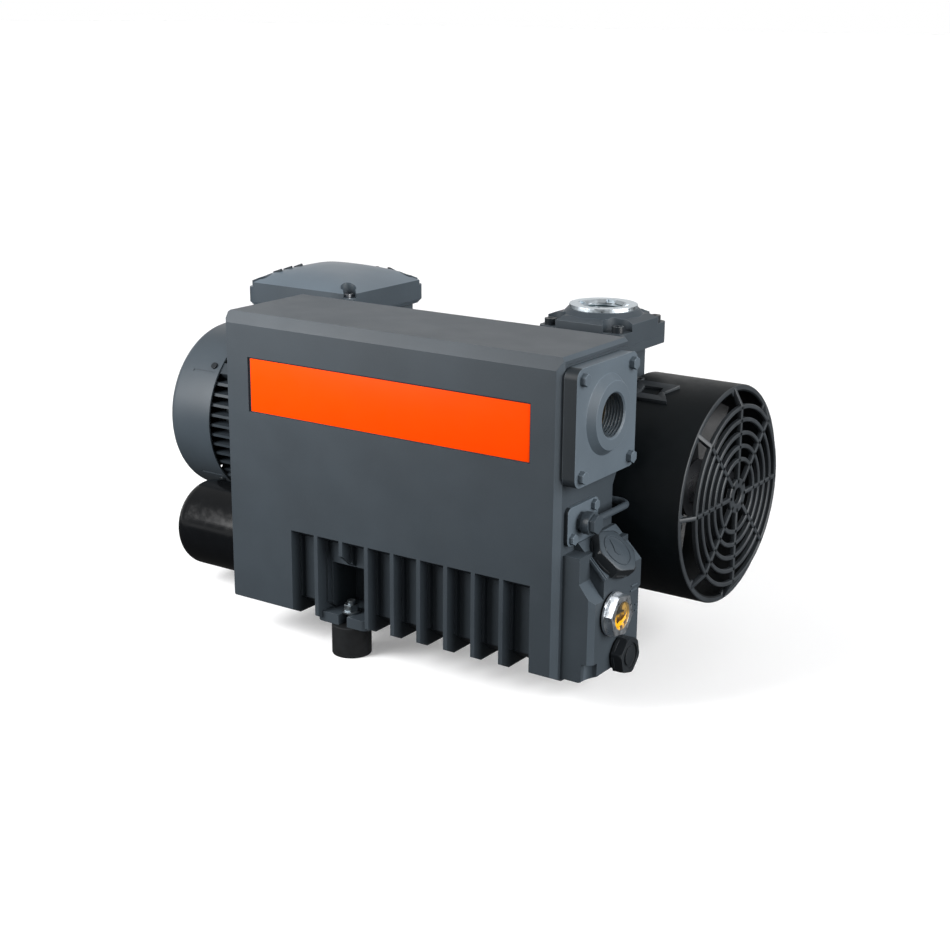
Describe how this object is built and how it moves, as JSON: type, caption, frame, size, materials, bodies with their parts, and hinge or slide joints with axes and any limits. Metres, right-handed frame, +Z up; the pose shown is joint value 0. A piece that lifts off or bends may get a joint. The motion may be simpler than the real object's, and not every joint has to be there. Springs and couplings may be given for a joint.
{
  "type": "rotary vane vacuum pump",
  "caption": "Oil-lubricated rotary vane vacuum pump: boxy ribbed oil separator in front, flanged motor and pump stage behind, axial fan hood, threaded inlet on top, rubber feet.",
  "frame": {"origin": "on the floor under the centre of the bounding box", "axes": "+X from the motor towards the fan hood, along the shaft; +Y away from the front of the oil separator; +Z up"},
  "size_m": [0.5, 0.25, 0.2635],
  "materials": {
    "oil_separator_housing": "fine sprayed satin, anthracite grey",
    "label_plate": "printed film, vivid orange",
    "exhaust_cover": "fine sprayed satin, anthracite grey",
    "exhaust_cover_gasket": "matt black",
    "exhaust_cover_bolts": "fine sprayed satin, anthracite grey",
    "exhaust_filter": "pleated fibre with felt sleeve",
    "service_cover": "fine sprayed satin, anthracite grey",
    "service_cover_bolts": "fine sprayed satin, anthracite grey",
    "banjo_fitting": "satin grey paint on steel fittings",
    "oil_return_pipe": "satin grey paint on steel fittings",
    "oil_fill_plug": "glass-filled nylon, satin black",
    "oil_port_seals": "matt black",
    "sight_glass_body": "nickel plated",
    "sight_glass_lens": "clear glass over oil",
    "oil_drain_plug": "glass-filled nylon, satin black",
    "float": "brushed",
    "float_bracket": "bright steel",
    "pump_cylinder": "fine sprayed satin, anthracite grey",
    "motor_side_end_plate": "machined grey iron",
    "fan_side_end_plate": "machined grey iron",
    "end_plate_bolts": "bright steel",
    "rotor": "bright steel",
    "vane_1": "laminated fibre composite",
    "vane_2": "laminated fibre composite",
    "vane_3": "laminated fibre composite",
    "shaft_bushes": "bronze bush",
    "shaft_seals": "matt black",
    "exhaust_valve_reed": "bright steel",
    "exhaust_valve_stop": "bright steel",
    "inlet_flange": "fine sprayed satin, anthracite grey",
    "inlet_flange_screws": "bright steel",
    "inlet_thread_ring": "zinc plated, turned",
    "inlet_screen": "bright steel",
    "inlet_valve_disc": "bright steel",
    "inlet_valve_spring": "bright steel",
    "oil_filter_head": "fine sprayed satin, anthracite grey",
    "oil_filter": "gloss black lacquer",
    "coupling_housing": "fine sprayed satin, anthracite grey",
    "pump_coupling_hub": "machined grey iron",
    "coupling_spider": "red polyurethane",
    "motor_coupling_hub": "machined grey iron",
    "motor_end_shield": "fine sprayed satin, anthracite grey",
    "motor_housing": "fine sprayed satin, anthracite grey",
    "motor_rear_shield": "cast",
    "stator_core": "stacked sheet edges",
    "stator_windings": "varnished copper winding",
    "motor_rotor": "bright steel",
    "motor_bearings": "bright steel",
    "motor_fan": "glass-filled nylon, satin black",
    "motor_fan_cowl": "fine sprayed satin, anthracite grey",
    "cowl_screws": "bright steel",
    "terminal_box": "fine sprayed satin, anthracite grey",
    "terminal_box_lid": "fine sprayed satin, anthracite grey",
    "terminal_box_screws": "bright steel",
    "cable_gland": "glass-filled nylon, satin black",
    "axial_fan": "glass-filled nylon, satin black",
    "fan_hood": "satin black",
    "rubber_feet": "matt black",
    "foot_bolts": "bright steel"
  },
  "bodies": {
    "pump_frame": {"oil_separator_housing": "oil_separator_housing", "label_plate": "label_plate", "exhaust_cover": "exhaust_cover", "exhaust_cover_gasket": "exhaust_cover_gasket", "exhaust_cover_bolts": "exhaust_cover_bolts", "exhaust_filter": "exhaust_filter", "service_cover": "service_cover", "service_cover_bolts": "service_cover_bolts", "banjo_fitting": "banjo_fitting", "oil_return_pipe": "oil_return_pipe", "oil_port_seals": "oil_port_seals", "sight_glass_body": "sight_glass_body", "sight_glass_lens": "sight_glass_lens", "float_bracket": "float_bracket", "pump_cylinder": "pump_cylinder", "motor_side_end_plate": "motor_side_end_plate", "fan_side_end_plate": "fan_side_end_plate", "end_plate_bolts": "end_plate_bolts", "shaft_bushes": "shaft_bushes", "shaft_seals": "shaft_seals", "exhaust_valve_stop": "exhaust_valve_stop", "inlet_flange": "inlet_flange", "inlet_flange_screws": "inlet_flange_screws", "inlet_thread_ring": "inlet_thread_ring", "inlet_screen": "inlet_screen", "inlet_valve_spring": "inlet_valve_spring", "oil_filter_head": "oil_filter_head", "oil_filter": "oil_filter", "coupling_housing": "coupling_housing", "motor_end_shield": "motor_end_shield", "motor_housing": "motor_housing", "motor_rear_shield": "motor_rear_shield", "stator_core": "stator_core", "stator_windings": "stator_windings", "motor_bearings": "motor_bearings", "motor_fan_cowl": "motor_fan_cowl", "cowl_screws": "cowl_screws", "terminal_box": "terminal_box", "terminal_box_lid": "terminal_box_lid", "terminal_box_screws": "terminal_box_screws", "cable_gland": "cable_gland", "fan_hood": "fan_hood", "rubber_feet": "rubber_feet", "foot_bolts": "foot_bolts"},
    "pump_rotor": {"rotor": "rotor", "pump_coupling_hub": "pump_coupling_hub", "coupling_spider": "coupling_spider", "axial_fan": "axial_fan"},
    "motor_rotor": {"motor_rotor": "motor_rotor", "motor_coupling_hub": "motor_coupling_hub", "motor_fan": "motor_fan"},
    "vane_1": {"vane_1": "vane_1"},
    "vane_2": {"vane_2": "vane_2"},
    "vane_3": {"vane_3": "vane_3"},
    "inlet_valve": {"inlet_valve_disc": "inlet_valve_disc"},
    "float": {"float": "float"},
    "exhaust_reed": {"exhaust_valve_reed": "exhaust_valve_reed"},
    "fill_plug": {"oil_fill_plug": "oil_fill_plug"},
    "drain_plug": {"oil_drain_plug": "oil_drain_plug"}
  },
  "joints": [
    {"name": "pump_spin", "type": "hinge", "parent": "pump_frame", "child": "pump_rotor", "pos_m": [0, 0.0435, 0.1275], "axis": [1, 0, 0], "continuous": true},
    {"name": "motor_spin", "type": "hinge", "parent": "pump_frame", "child": "motor_rotor", "pos_m": [0, 0.0435, 0.1275], "axis": [1, 0, 0], "continuous": true},
    {"name": "vane_1_slide", "type": "slide", "parent": "pump_rotor", "child": "vane_1", "axis": [0, -0.7071, 0.7071], "range_m": [-0.0048, 0]},
    {"name": "vane_2_slide", "type": "slide", "parent": "pump_rotor", "child": "vane_2", "axis": [0, 0.2588, 0.9659], "range_m": [0, 0.0022]},
    {"name": "vane_3_slide", "type": "slide", "parent": "pump_rotor", "child": "vane_3", "axis": [0, -0.9659, -0.2588], "range_m": [0, 0.0022]},
    {"name": "inlet_valve_lift", "type": "slide", "parent": "pump_frame", "child": "inlet_valve", "axis": [0, 0, -1], "range_m": [0, 0.007], "stiffness_N_per_m": 100, "springref_m": -0.005, "deforming": ["inlet_valve_spring"]},
    {"name": "float_swing", "type": "hinge", "parent": "pump_frame", "child": "float", "pos_m": [0.15, -0.08, 0.06], "axis": [0, 1, 0], "range_deg": [0, 25]},
    {"name": "exhaust_reed_flex", "type": "hinge", "parent": "pump_frame", "child": "exhaust_reed", "pos_m": [0.115, -0.0126, 0.14], "axis": [-1, 0, 0], "range_deg": [0, 8], "stiffness_Nm_per_rad": 0.3},
    {"name": "fill_plug_out", "type": "slide", "parent": "pump_frame", "child": "fill_plug", "axis": [0.7071, 0, 0.7071], "range_m": [0, 0.025]},
    {"name": "drain_plug_out", "type": "slide", "parent": "pump_frame", "child": "drain_plug", "axis": [1, 0, 0], "range_m": [0, 0.02]}
  ],
  "couplings": [
    {"joint": "motor_spin", "follows": "pump_spin", "ratio": 1}
  ]
}
